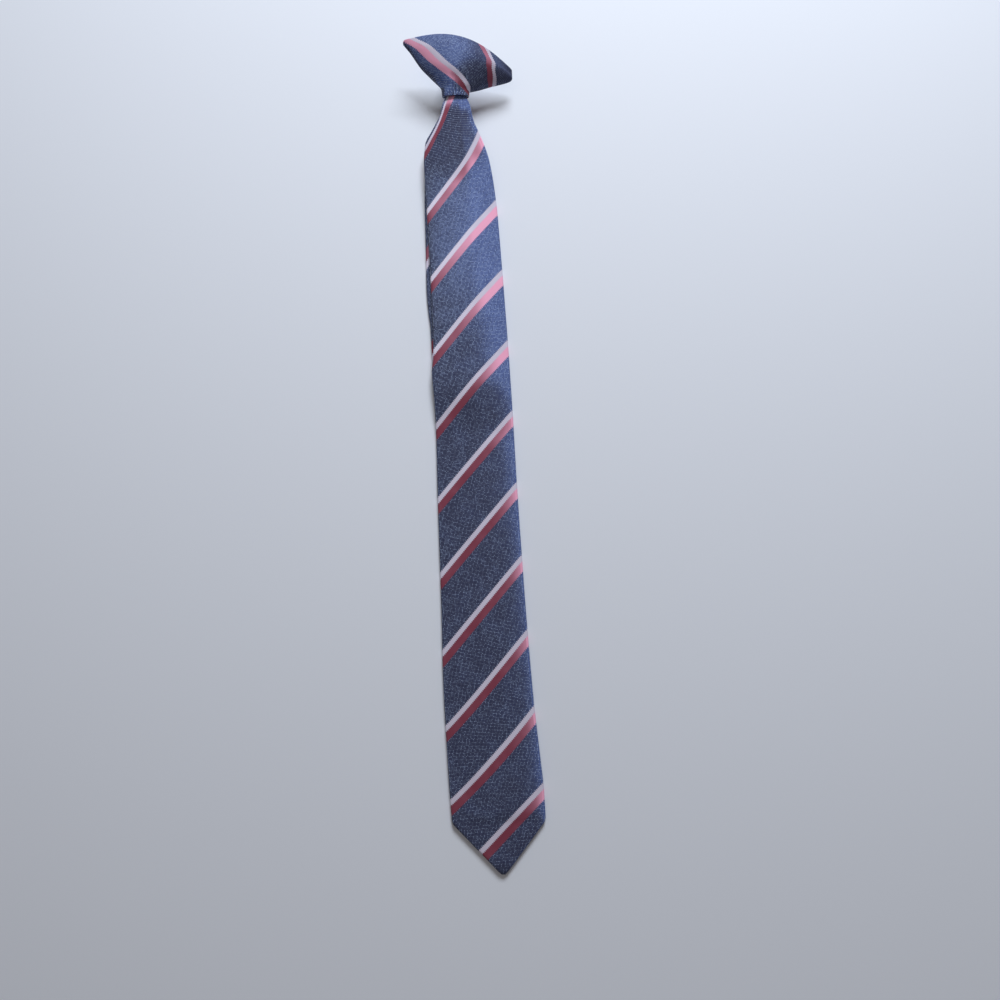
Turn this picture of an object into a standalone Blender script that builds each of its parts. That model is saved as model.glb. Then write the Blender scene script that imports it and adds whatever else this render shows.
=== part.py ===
"""A slim clip-on necktie that lies face up on a flat surface.

Y runs from the point of the blade to the knot, X across it, and Z up. The origin is under the
middle of the whole tie, on the surface it lies on. Sizes are in metres.
"""

import math
from collections import namedtuple

import bmesh
import bpy
from mathutils import Matrix, Vector

# Wall, radius of the rolled edges and lap of the back flaps of one cloth.
Cloth = namedtuple("Cloth", "wall roll lap")

# The blade, the wide end that shows. Its front is a little full, its gathers near the knot have a
# depth, and its point leans by the skew, which fades out over so many lengths of the point.
BLADE_LENGTH = 0.479
BLADE_WIDTH = 0.055
BLADE_POINT = 0.0305
BLADE = Cloth(wall=0.0012, roll=0.0011, lap=0.005)
BLADE_CROWN = 0.0009
BLADE_GATHER = 0.0005
POINT_SKEW = 0.001
SKEW_FADE = 3

# The tail, the narrow end behind the blade.
TAIL_LENGTH = 0.187
TAIL_WIDTH = 0.027
TAIL_POINT = 0.015
TAIL = Cloth(wall=0.001, roll=0.00085, lap=0.003)
TAIL_SHIFT = 0.012

# Room between cloth and cloth, and between the knot's rim and what it holds.
PLY_GAP = 0.0003
NECK_ROOM = 0.0004

# The neck, where both ends rise into the knot: their widths there, the height of their
# underside, and how far they run in past the rim.
BLADE_NECK = 0.0136
TAIL_NECK = 0.0096
NECK_LIFT = 0.0060
NECK_HOLD = 0.0050

# The knot, whose height is measured from the surface.
KNOT_SPAN = 0.070
KNOT_LENGTH = 0.033
KNOT_HEIGHT = 0.028
KNOT_WALL = 0.0013
KNOT_ROLL = 0.0014

# The hook behind the knot, with its room inside the knot's flaps. Its leg reaches down to the
# surface.
CLIP_WIDTH = 0.012
CLIP_THICKNESS = 0.001
CLIP_PLATE = 0.0150
CLIP_BEND = 0.0038
CLIP_LEG = 0.0190
CLIP_ROOM = 0.0005

# Sections of cloth are at most this far apart. Each has rolled edges drawn at these angles, and
# so many steps and gathers across its front.
SECTION_STEP = 0.0125
EDGE_ANGLES = (0, 36, 72, 108, 144, 180)
FRONT_STEPS = 14
GATHERS = 3

# The most that a rolled edge or a flap takes of the half width of a narrow cloth, the most of the
# flat back that the flaps lap or leave open, and how round the front is (1 is a sine).
NARROW_SHARE = 0.45
LAP_LIMIT = 0.6
OPEN_LIMIT = 0.8
FRONT_ROUND = 0.75

# A row for each section of the blade: how far along the blade it is, its half widths to the left
# and right as shares of the way from the neck's to half the blade's width, how far the back flaps
# lap (1 is the full lap, -1 wide open), how full the front is, and how deep its gathers are.
BLADE_ROWS = (
    # along, left, right, lap, crown, gather
    (0.1000, 1.048, 0.942, 0.7, 0.9, 0.0),
    (0.1300, 1.058, 0.908, 1.0, 1.0, 0.0),
    (0.2100, 1.068, 0.821, 1.0, 1.0, 0.0),
    (0.3300, 1.000, 0.773, 1.0, 1.0, 0.0),
    (0.4550, 0.942, 0.763, 1.0, 1.0, 0.0),
    (0.5850, 0.870, 0.783, 1.0, 1.0, 0.0),
    (0.6220, 0.899, 0.783, 1.0, 1.0, 0.0),
    (0.6430, 0.831, 0.783, 1.0, 1.0, 0.0),
    (0.6800, 0.792, 0.778, 1.0, 1.1, 0.0),
    (0.7620, 0.783, 0.758, 1.0, 1.2, 0.0),
    (0.8390, 0.783, 0.729, 1.0, 1.4, 0.1),
    (0.8750, 0.787, 0.681, 1.0, 1.5, 0.3),
    (0.9100, 0.783, 0.585, 1.0, 1.7, 0.6),
    (0.9250, 0.749, 0.498, 0.9, 1.8, 0.8),
    (0.9385, 0.691, 0.401, 0.9, 1.8, 1.0),
    (0.9500, 0.531, 0.304, 0.8, 1.8, 1.0),
    (0.9625, 0.348, 0.193, 0.7, 1.7, 1.0),
    (0.9750, 0.188, 0.140, 0.6, 1.5, 1.0),
    (0.9870, 0.116, 0.101, 0.5, 1.2, 0.7),
    (0.9950, 0.019, 0.014, 0.4, 0.9, 0.2),
    (1.0000, 0.000, 0.000, 0.4, 0.7, 0.0),
)

# The blade's corners, in the same shares, and a row for each section of a point, from its tip to
# its corners: how far up the point it is, its width as a share of the corners', and the rest.
CORNER_LEFT = 1.029
CORNER_RIGHT = 0.937
POINT_ROWS = (
    # up, width, lap, crown
    (0.060, 0.055, -1.0, 0.0),
    (0.120, 0.120, -1.0, 0.0),
    (0.300, 0.300, -1.0, 0.1),
    (0.500, 0.500, -0.9, 0.3),
    (0.750, 0.750, -0.6, 0.5),
    (0.930, 0.930, -0.3, 0.7),
    (0.985, 0.980, -0.2, 0.75),
    (1.050, 0.998, -0.1, 0.8),
)

# A row for each section of the tail, from its corners up: how far along the tail it is, its shift
# to the left as a share of TAIL_SHIFT, its half width as the blade's, and how far its flaps lap.
TAIL_ROWS = (
    # along, shift, width, lap
    (0.100, 0.970, 1.000, 0.2),
    (0.140, 0.960, 1.000, 0.6),
    (0.200, 0.960, 1.000, 1.0),
    (0.250, 1.020, 1.000, 1.0),
    (0.320, 1.060, 1.000, 1.0),
    (0.470, 1.000, 0.980, 1.0),
    (0.640, 0.930, 0.970, 1.0),
    (0.790, 0.780, 0.940, 1.0),
    (0.880, 0.500, 0.720, 1.0),
    (0.950, 0.130, 0.320, 0.9),
    (0.985, 0.000, 0.060, 0.6),
    (1.000, 0.000, 0.000, 0.6),
)

# How high the underside of the tail is before the knot's rim: the distance as a share of the
# blade's length, and the height as a share of NECK_LIFT.
LIFT_ROWS = (
    # from_rim, height
    (-0.2000, 0.00),
    (-0.1200, 0.18),
    (-0.0820, 0.40),
    (-0.0400, 0.69),
    (0.0000, 1.00),
)

# How the blade climbs over the tail: the way past the tail's tip as a share of TAIL_POINT, and the
# height as a share of the tail's thickness.
CLIMB_ROWS = (
    # past_tip, height
    (-2.4, 0.0),
    (-0.1, 1.0),
)

# A row for each section of the knot, from its rim to its top edge. Places across are shares of
# the way from the rim's half width to half the knot's span, places along are shares of the knot's
# length, and heights are shares of the way from the rim's to the knot's height.
KNOT_PLACES = (
    # left across, along, up, right across, along, up, front across, along, up
    (0.000, 0.015, 0.000, 0.000, -0.015, 0.000, 0.000, -0.076, 0.000),
    (0.015, 0.165, 0.029, 0.034, 0.106, 0.000, 0.020, 0.045, 0.106),
    (0.245, 0.370, 0.200, 0.268, 0.136, 0.000, 0.056, 0.197, 0.380),
    (0.464, 0.540, 0.400, 0.543, 0.190, 0.000, 0.090, 0.360, 0.670),
    (0.690, 0.785, 0.715, 1.055, 0.290, 0.030, 0.135, 0.680, 0.980),
    (0.825, 0.910, 0.853, 1.055, 0.400, 0.170, 0.145, 0.885, 1.000),
)

# The form of each of those sections: the radius of its side edges as a share of KNOT_ROLL, the
# depth of its back flaps as a share of the rim's, how sharp its sides are (0.5 is round, 1 a flat
# arch), and the share of its back that is left open.
KNOT_FORMS = (
    # roll, back, sharp, opened
    (2.10, 1.00, 0.50, 0.05),
    (1.90, 1.00, 0.55, 0.06),
    (1.30, 0.50, 0.70, 0.14),
    (1.05, 0.35, 0.85, 0.34),
    (1.00, 0.25, 1.05, 0.62),
    (1.00, 0.20, 1.20, 0.70),
)

# The angles at which the knot's side edges are drawn, and the steps of its front and back.
KNOT_ANGLES = (70, 45, 20)
KNOT_FRONT_STEPS = 8
KNOT_FLAP_STEPS = 4

# Where on the knot, in rows from its rim, the clip's plate starts and the place it points to, and
# the steps of its bend.
CLIP_START = 2.15
CLIP_AIM = 5.0
BEND_STEPS = 12


def smooth_between(xs, ys, x):
    """Reads a table at x with a smooth curve that never overshoots its rows."""
    last = len(xs) - 1
    if x <= xs[0]:
        return ys[0]
    if x >= xs[last]:
        return ys[last]
    k = max(i for i in range(last) if xs[i] <= x)
    steps = [(ys[i + 1] - ys[i]) / (xs[i + 1] - xs[i]) for i in range(last)]

    def slope(i):
        if i in (0, last):
            return steps[min(i, last - 1)]
        before, after = steps[i - 1], steps[i]
        return 0.0 if before * after <= 0 else 2 * before * after / (before + after)

    run = xs[k + 1] - xs[k]
    t = (x - xs[k]) / run
    start = ys[k] * (1 + 2 * t) + slope(k) * run * t
    end = ys[k + 1] * (3 - 2 * t) + slope(k + 1) * run * (t - 1)
    return start * (1 - t) ** 2 + end * t**2


def read_rows(rows, x):
    """The values of a table's other columns at x in its first column."""
    xs = [row[0] for row in rows]
    columns = range(1, len(rows[0]))
    return [smooth_between(xs, [row[c] for row in rows], x) for c in columns]


def spread(stops, step):
    """The stops, with places evenly spaced between them so that none is over a step apart."""
    places = [stops[0]]
    for start, end in zip(stops, stops[1:]):
        count = max(1, math.ceil((end - start) / step - 1e-9))
        places += [start + (end - start) * (i + 1) / count for i in range(count)]
    return places


def stack(cloth, crown):
    """Thickness of folded cloth at its middle: front, two lapped flaps and the room between."""
    return 3 * cloth.wall + 2 * PLY_GAP + crown


def tail_lift(y):
    """Height of the tail's underside at y."""
    from_rim = (y - BLADE_LENGTH) / BLADE_LENGTH
    (place, height), (rim, rim_height) = LIFT_ROWS[-2:]
    past_rim = max(0.0, from_rim) * (rim_height - height) / (rim - place)
    return NECK_LIFT * (read_rows(LIFT_ROWS, from_rim)[0] + past_rim)


def blade_lift(y):
    """Height of the blade's underside at y: on the surface, then over the tail."""
    past_tip = (y - BLADE_LENGTH + TAIL_LENGTH) / TAIL_POINT
    over = stack(TAIL, 0.0) + PLY_GAP
    return tail_lift(y) + over * read_rows(CLIMB_ROWS, past_tip)[0]


def fold_section(cloth, left, right, lap, crown, gather):
    """Middle line of folded cloth: inner flap, left edge, front, right edge, outer flap.

    Gives (x, z) points, with the underside of the cloth at z = 0.
    """
    most = NARROW_SHARE * min(left, right)
    roll = min(cloth.roll, most)
    low = cloth.wall / 2
    level = cloth.wall + PLY_GAP
    flat_left = left - low - roll
    flat_right = right - low - roll
    reach = lap * (min(cloth.lap, most) if lap > 0 else most)
    inner_end = max(-OPEN_LIMIT * flat_left, min(reach, LAP_LIMIT * flat_right))
    outer_end = min(OPEN_LIMIT * flat_right, max(-reach, -LAP_LIMIT * flat_left))
    raised = level * min(1.0, max(0.0, 1 + 2 * lap))
    step = min(outer_end - 1.5 * PLY_GAP - low, inner_end - PLY_GAP)
    step = max(step, 0.35 * inner_end - 0.65 * flat_left)
    foot = max(step - 1.2 * level, (step - flat_left) / 2)
    points = [(inner_end, low + raised), ((inner_end + step) / 2, low + raised)]
    points += [(step, low + raised), (foot, low)]
    turns = [math.radians(angle) for angle in EDGE_ANGLES]
    for turn in turns:
        points.append((-flat_left - roll * math.sin(turn), low + roll - roll * math.cos(turn)))
    side = low + 2 * roll
    peak = max(side, low + 2 * raised) + crown
    for i in range(1, FRONT_STEPS):
        share = i / FRONT_STEPS
        arch = math.sin(math.pi * share)
        fold = gather * arch * math.cos(2 * math.pi * GATHERS * share)
        x = -flat_left + share * (flat_left + flat_right)
        points.append((x, side + (peak - side) * arch**FRONT_ROUND + fold))
    for turn in turns:
        points.append((flat_right + roll * math.sin(turn), low + roll + roll * math.cos(turn)))
    points += [((flat_right + outer_end) / 2, low), (outer_end, low)]
    return points


def loft(name, rows, wall, material):
    """A wall of cloth through rows of points, one closed body."""
    shape = bmesh.new()
    grid = [[shape.verts.new(point) for point in row] for row in rows]
    for lower, upper in zip(grid, grid[1:]):
        for i in range(len(lower) - 1):
            shape.faces.new((lower[i], lower[i + 1], upper[i + 1], upper[i]))
    mesh = bpy.data.meshes.new(name)
    shape.to_mesh(mesh)
    shape.free()
    mesh.shade_smooth()
    mesh.set_sharp_from_angle(angle=math.radians(50))
    mesh.materials.append(material)
    cloth = bpy.data.objects.new(name, mesh)
    solid = cloth.modifiers.new("wall", "SOLIDIFY")
    solid.thickness = wall
    solid.offset = 0
    return cloth


def make_blade(material):
    """The blade: its point, its long folded body, and its end gathered into the knot."""
    neck, swell = BLADE_NECK / 2, (BLADE_WIDTH - BLADE_NECK) / 2
    left_corner, right_corner = neck + swell * CORNER_LEFT, neck + swell * CORNER_RIGHT
    sections = []

    def add(y, left, right, lap, crown, gather):
        skew = POINT_SKEW * max(0.0, 1 - y / (SKEW_FADE * BLADE_POINT)) / (BLADE_WIDTH / 2)
        lift = blade_lift(y)
        full, depth = crown * BLADE_CROWN, gather * BLADE_GATHER
        flat = fold_section(BLADE, left, right, lap, full, depth)
        sections.append([(x, y - skew * x, z + lift) for x, z in flat])

    for up, width, lap, crown in POINT_ROWS:
        add(up * BLADE_POINT, width * left_corner, width * right_corner, lap, crown, 0.0)
    body_start = BLADE_POINT * POINT_ROWS[-1][0]
    first = (body_start / BLADE_LENGTH, CORNER_LEFT, CORNER_RIGHT, *POINT_ROWS[-1][2:], 0.0)
    table = (first, *BLADE_ROWS)
    for along in spread([row[0] for row in table], SECTION_STEP / BLADE_LENGTH)[1:]:
        left, right, *form = read_rows(table, along)
        add(along * BLADE_LENGTH, neck + swell * left, neck + swell * right, *form)
    add(BLADE_LENGTH + NECK_HOLD, neck, neck, *BLADE_ROWS[-1][3:])
    return loft("blade", sections, BLADE.wall, material)


def make_tail(material):
    """The tail, folded like the blade and laid under it."""
    neck, swell = TAIL_NECK / 2, (TAIL_WIDTH - TAIL_NECK) / 2
    tip = BLADE_LENGTH - TAIL_LENGTH
    sections = []

    def add(along, shift, half, lap):
        lift = tail_lift(tip + along)
        flat = fold_section(TAIL, half, half, lap, 0.0, 0.0)
        sections.append([(x - shift * TAIL_SHIFT, tip + along, z + lift) for x, z in flat])

    shift = TAIL_ROWS[0][1]
    narrowest = TAIL.wall + TAIL.roll / 2
    for up, width, lap, _ in POINT_ROWS:
        add(up * TAIL_POINT, shift, max(width * TAIL_WIDTH / 2, narrowest), lap)
    body_start = TAIL_POINT * POINT_ROWS[-1][0]
    first = (body_start / TAIL_LENGTH, shift, 1.0, POINT_ROWS[-1][2])
    table = (first, *TAIL_ROWS)
    for along in spread([row[0] for row in table], SECTION_STEP / TAIL_LENGTH)[1:]:
        shift, width, lap = read_rows(table, along)
        add(along * TAIL_LENGTH, shift, neck + swell * width, lap)
    add(TAIL_LENGTH + NECK_HOLD, 0.0, neck, TAIL_ROWS[-1][3])
    return loft("tail", sections, TAIL.wall, material)


def knot_section(place):
    """Middle line of the knot's cloth: left flap, left edge, front, right edge, right flap."""
    table = [(i, *row, *form) for i, (row, form) in enumerate(zip(KNOT_PLACES, KNOT_FORMS))]
    row = read_rows(table, place)
    held = stack(TAIL, 0.0) + PLY_GAP + stack(BLADE, BLADE_ROWS[-1][4] * BLADE_CROWN)
    rim_half = BLADE_NECK / 2 + NECK_ROOM + KNOT_WALL / 2
    rim_depth = held / 2 + NECK_ROOM + KNOT_WALL / 2
    rim_height = NECK_LIFT + held / 2
    top = KNOT_HEIGHT - KNOT_WALL / 2
    reach = KNOT_SPAN / 2 - rim_half

    def at(side, across, along, up, base):
        x = side * (rim_half + across * reach)
        return Vector((x, BLADE_LENGTH + along * KNOT_LENGTH, base + up * (top - base)))

    left = at(-1, *row[0:3], rim_height)
    right = at(1, *row[3:6], rim_height)
    front = at(0, *row[6:9], rim_height + rim_depth)
    front.x = row[6] * KNOT_SPAN / 2
    roll, sharp, opened = row[9] * KNOT_ROLL, row[11], row[12]
    middle = (left + right) / 2
    half = (right - left).length / 2
    across = (right - left).normalized()
    bulge = front - middle
    bulge -= bulge.dot(across) * across
    outward = bulge.normalized()
    back = row[10] * (rim_depth / outward.z - KNOT_FORMS[0][0] * KNOT_ROLL)
    power = 2 * half / roll

    def on(share, side):
        edge = roll * math.sqrt(max(0.0, 1 - abs(share) ** power))
        arch = (bulge.length - roll) * (1 - share**2) ** sharp
        flap = back * (1 - share**2) ** 0.5
        out = edge + arch if side == "front" else -edge - flap
        return middle + across * (share * half) + outward * out

    turns = [1 - roll / half * (1 - math.cos(math.radians(angle))) for angle in KNOT_ANGLES]
    flap = [opened + (turns[0] - opened) * i / KNOT_FLAP_STEPS for i in range(KNOT_FLAP_STEPS)]
    quarter = math.pi / 2 / KNOT_FRONT_STEPS
    arch = [turns[0] * math.sin(quarter * i) for i in range(KNOT_FRONT_STEPS)]
    back_side = flap + turns
    front_side = [1.0] + turns[::-1] + arch[::-1]
    points = [on(-share, "back") for share in back_side]
    points += [on(-share, "front") for share in front_side]
    points += [on(share, "front") for share in front_side[-2::-1]]
    points += [on(share, "back") for share in back_side[::-1]]
    return points


def make_knot(material):
    """The knot, a hollow fan of cloth with an open back."""
    sections = [knot_section(place) for place in spread([0, len(KNOT_PLACES) - 1], 0.5)]
    return loft("knot", sections, KNOT_WALL, material)


def clip_frame():
    """Where the clip's plate starts, inside the knot's back flaps, and its three directions."""
    start, aim = knot_section(CLIP_START), knot_section(CLIP_AIM)
    seat = (start[0] + start[-1]) / 2
    along = ((aim[0] + aim[-1]) / 2 - seat).normalized()
    across = start[-1] - start[0]
    across = (across - across.dot(along) * along).normalized()
    inward = across.cross(along)
    seat += inward * ((KNOT_WALL + CLIP_THICKNESS) / 2 + CLIP_ROOM)
    return seat, along, inward, across


def clip_line(flare):
    """Side view of the clip's middle line: the plate, the bend, and a leg that flares out."""
    turn = math.pi - flare
    line = [(0.0, 0.0)]
    for i in range(BEND_STEPS + 1):
        angle = turn * i / BEND_STEPS
        line.append((CLIP_PLATE + CLIP_BEND * math.sin(angle), CLIP_BEND * (math.cos(angle) - 1)))
    x, y = line[-1]
    line.append((x - CLIP_LEG * math.cos(flare), y - CLIP_LEG * math.sin(flare)))
    return line


def find_flare(seat, along, inward, across):
    """The leg's angle to the plate with which its end just reaches the surface."""
    low, high = 0.0, math.pi / 2
    for _ in range(40):
        flare = (low + high) / 2
        x, y = clip_line(flare)[-1]
        face = math.sin(flare) * along - math.cos(flare) * inward
        corner = CLIP_THICKNESS / 2 * abs(face.z) + CLIP_WIDTH / 2 * abs(across.z)
        if (seat + along * x + inward * y).z > corner:
            low = flare
        else:
            high = flare
    return flare


def make_clip(material):
    """The hook behind the knot: one bent strip."""
    seat, along, inward, across = clip_frame()
    line = [Vector(point) for point in clip_line(find_flare(seat, along, inward, across))]
    sides = []
    for i, point in enumerate(line):
        before, after = line[max(0, i - 1)], line[min(len(line) - 1, i + 1)]
        run = (after - before).normalized()
        sides.append(Vector((-run.y, run.x)) * CLIP_THICKNESS / 2)
    outline = [point + side for point, side in zip(line, sides)]
    outline += [point - side for point, side in zip(line[::-1], sides[::-1])]
    curve = bpy.data.curves.new("clip", "CURVE")
    curve.dimensions = "2D"
    curve.fill_mode = "BOTH"
    curve.extrude = CLIP_WIDTH / 2
    spline = curve.splines.new("POLY")
    spline.points.add(len(outline) - 1)
    for point, (x, y) in zip(spline.points, outline):
        point.co = (x, y, 0, 1)
    spline.use_cyclic_u = True
    curve.materials.append(material)
    clip = bpy.data.objects.new("clip", curve)
    directions = Matrix((along, inward, along.cross(inward))).transposed()
    clip.matrix_local = Matrix.Translation(seat) @ directions.to_4x4()
    return clip


def make_material(name, colour, roughness, metallic):
    material = bpy.data.materials.new(name)
    material.use_nodes = True
    shader = material.node_tree.nodes["Principled BSDF"]
    shader.inputs["Base Color"].default_value = (*colour, 1.0)
    shader.inputs["Roughness"].default_value = roughness
    shader.inputs["Metallic"].default_value = metallic
    return material


def centre_on_origin(pieces, carrier):
    """Moves the carrier so that the tie's footprint is centred and its lowest point is at 0."""
    bpy.context.view_layer.update()
    graph = bpy.context.evaluated_depsgraph_get()
    corners = []
    for piece in pieces:
        shape = piece.evaluated_get(graph)
        corners += [shape.matrix_world @ vertex.co for vertex in shape.to_mesh().vertices]
        shape.to_mesh_clear()
    for axis in range(2):
        values = [corner[axis] for corner in corners]
        carrier.location[axis] = -(min(values) + max(values)) / 2
    carrier.location[2] = -min(corner[2] for corner in corners)


def main():
    for thing in list(bpy.data.objects):
        bpy.data.objects.remove(thing)
    blade_cloth = make_material("blade_cloth", (0.10, 0.12, 0.22), 0.75, 0.0)
    tail_cloth = make_material("tail_cloth", (0.09, 0.11, 0.20), 0.75, 0.0)
    knot_cloth = make_material("knot_cloth", (0.12, 0.14, 0.25), 0.75, 0.0)
    steel = make_material("clip_steel", (0.62, 0.62, 0.64), 0.35, 1.0)
    collection = bpy.data.collections.new("clip_on_tie")
    bpy.context.scene.collection.children.link(collection)
    carrier = bpy.data.objects.new("tie_origin", None)
    collection.objects.link(carrier)
    pieces = [make_blade(blade_cloth), make_tail(tail_cloth)]
    pieces += [make_knot(knot_cloth), make_clip(steel)]
    for piece in pieces:
        collection.objects.link(piece)
        piece.parent = carrier
    centre_on_origin(pieces, carrier)


main()
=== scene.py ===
import math

import bmesh
import bpy
import numpy as np
from mathutils import Matrix, Vector


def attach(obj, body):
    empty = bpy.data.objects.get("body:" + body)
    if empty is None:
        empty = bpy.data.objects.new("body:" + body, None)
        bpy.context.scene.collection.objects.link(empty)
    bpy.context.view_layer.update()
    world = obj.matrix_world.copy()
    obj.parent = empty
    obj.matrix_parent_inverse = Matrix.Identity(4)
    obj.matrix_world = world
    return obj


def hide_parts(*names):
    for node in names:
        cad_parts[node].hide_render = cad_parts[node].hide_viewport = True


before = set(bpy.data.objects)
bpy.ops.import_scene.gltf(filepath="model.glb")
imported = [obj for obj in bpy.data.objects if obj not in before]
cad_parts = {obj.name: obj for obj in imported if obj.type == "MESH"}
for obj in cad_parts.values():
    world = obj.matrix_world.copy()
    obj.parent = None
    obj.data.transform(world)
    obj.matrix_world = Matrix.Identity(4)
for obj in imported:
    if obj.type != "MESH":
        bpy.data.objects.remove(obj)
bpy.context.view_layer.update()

# The tail: the narrow end behind the blade, folded from the same striped cloth. It is laid down
# first, a little to the left, so that a strip of it shows beside the blade. Its top end goes into
# the knot. Places on the tie are measured from under the blade's point.

TIE_START = Vector((-0.003313, -0.255893, 0.0))
BLADE_LENGTH = 0.479
PLY_GAP = 0.0003
NECK_LIFT = 0.0060
NECK_HOLD = 0.0050
SECTION_STEP = 0.0025
CLOTH_RIM = 0.22

TAIL_LENGTH = 0.187
TAIL_WIDTH = 0.027
TAIL_POINT = 0.015
TAIL_WALL = 0.001
TAIL_ROLL = 0.00085
TAIL_LAP = 0.003
TAIL_SHIFT = 0.012
TAIL_NECK = 0.0096
TAIL_THICKNESS = 3 * TAIL_WALL + 2 * PLY_GAP

# From tip to corners: up the point, share of the width, lap of the flaps, fullness of the front.
POINT_ROWS = (
    (0.060, 0.055, -1.0, 0.0),
    (0.120, 0.120, -1.0, 0.0),
    (0.300, 0.300, -1.0, 0.1),
    (0.500, 0.500, -0.9, 0.3),
    (0.750, 0.750, -0.6, 0.5),
    (0.930, 0.930, -0.3, 0.7),
    (0.985, 0.980, -0.2, 0.75),
    (1.050, 0.998, -0.1, 0.8),
)
# Along the tail: shift to the left, half width, lap.
TAIL_ROWS = (
    (0.100, 0.970, 1.000, 0.2),
    (0.140, 0.960, 1.000, 0.6),
    (0.200, 0.960, 1.000, 1.0),
    (0.250, 1.020, 1.000, 1.0),
    (0.320, 1.060, 1.000, 1.0),
    (0.470, 1.000, 0.980, 1.0),
    (0.640, 0.930, 0.970, 1.0),
    (0.790, 0.780, 0.940, 1.0),
    (0.880, 0.500, 0.720, 1.0),
    (0.950, 0.130, 0.320, 0.9),
    (0.985, 0.000, 0.060, 0.6),
    (1.000, 0.000, 0.000, 0.6),
)
# Before the knot's rim, as a share of the blade: height of the tail's underside.
LIFT_ROWS = ((-0.2000, 0.00), (-0.1200, 0.18), (-0.0820, 0.40), (-0.0400, 0.69), (0.0000, 1.00))


def smooth_between(xs, ys, x):
    """Reads a table at x with a smooth curve that never overshoots its rows."""
    last = len(xs) - 1
    if x <= xs[0]:
        return ys[0]
    if x >= xs[last]:
        return ys[last]
    k = max(i for i in range(last) if xs[i] <= x)
    steps = [(ys[i + 1] - ys[i]) / (xs[i + 1] - xs[i]) for i in range(last)]

    def slope(i):
        if i in (0, last):
            return steps[min(i, last - 1)]
        before, after = steps[i - 1], steps[i]
        return 0.0 if before * after <= 0 else 2 * before * after / (before + after)

    run = xs[k + 1] - xs[k]
    t = (x - xs[k]) / run
    start = ys[k] * (1 + 2 * t) + slope(k) * run * t
    end = ys[k + 1] * (3 - 2 * t) + slope(k + 1) * run * (t - 1)
    return start * (1 - t) ** 2 + end * t**2


def read_rows(rows, x):
    """The other columns of a table at x in its first column."""
    xs = [row[0] for row in rows]
    return [smooth_between(xs, [row[c] for row in rows], x) for c in range(1, len(rows[0]))]


def smooth_step(x, start, end):
    t = np.clip((x - start) / (end - start), 0.0, 1.0)
    return t * t * (3 - 2 * t)


def tail_lift(y):
    """Height of the tail's underside: on the surface, then rising to the knot's rim."""
    from_rim = (y - BLADE_LENGTH) / BLADE_LENGTH
    (place, height), (rim, rim_height) = LIFT_ROWS[-2:]
    past_rim = max(0.0, from_rim) * (rim_height - height) / (rim - place)
    return NECK_LIFT * (read_rows(LIFT_ROWS, from_rim)[0] + past_rim)


def fold(wall, roll, lap_width, left, right, lap, crown, gather):
    """Middle line of folded cloth: inner flap, left edge, front, right edge, outer flap.

    Gives x, z and the cloth's own coordinate, which is 0 at the middle of the front.
    """
    most = 0.45 * min(left, right)
    roll = min(roll, most)
    low = wall / 2
    flat_left = left - low - roll
    flat_right = right - low - roll
    reach = lap * (min(lap_width, most) if lap > 0 else most)
    inner_end = max(-0.8 * flat_left, min(reach, 0.6 * flat_right))
    outer_end = min(0.8 * flat_right, max(-reach, -0.6 * flat_left))
    level = wall + PLY_GAP
    raised = level * min(1.0, max(0.0, 1 + 2 * lap))
    step = min(outer_end - 1.5 * PLY_GAP - low, inner_end - PLY_GAP)
    step = max(step, 0.35 * inner_end - 0.65 * flat_left)
    foot = max(step - 1.2 * level, (step - flat_left) / 2)
    turn = np.linspace(0, math.pi, 11)
    inner = np.linspace(inner_end, -flat_left, 15)[:-1]
    across = np.linspace(-flat_left, flat_right, 49)[1:-1]
    share = (across + flat_left) / (flat_left + flat_right)
    arch = np.sin(math.pi * share)
    side = low + 2 * roll
    peak = max(side, low + 2 * raised) + crown
    front = side + (peak - side) * arch**0.75 + gather * arch * np.cos(6 * math.pi * share)
    outer = np.linspace(flat_right, outer_end, 15)[1:]
    x = np.concatenate(
        [inner, -flat_left - roll * np.sin(turn), across, flat_right + roll * np.sin(turn), outer]
    )
    z = np.concatenate(
        [
            low + raised * smooth_step(inner, foot, step),
            low + roll - roll * np.cos(turn),
            front,
            low + roll + roll * np.cos(turn),
            np.full(len(outer), low),
        ]
    )
    along = np.concatenate([[0.0], np.cumsum(np.hypot(np.diff(x), np.diff(z)))])
    first = len(inner) + len(turn)
    middle = np.interp(0.0, across, along[first : first + len(across)])
    return x, z, along - middle


# Painted sheen: satin threads are painted lighter where they would meet the light from beyond the knot
# square on. Along the tie: how far a thread leans out of that light. A slope to one side counts for
# more.
SHEEN_ROWS = (
    (0.000, 0.60),
    (0.180, 0.56),
    (0.255, 0.48),
    (0.300, 0.33),
    (0.345, 0.21),
    (0.385, 0.10),
    (0.420, 0.14),
    (0.440, 0.35),
    (0.466, 0.41),
    (0.4755, -0.10),
    (0.500, -0.40),
)
SHEEN_SPREAD = 0.18
SHEEN_SIDES = 3.2


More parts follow.
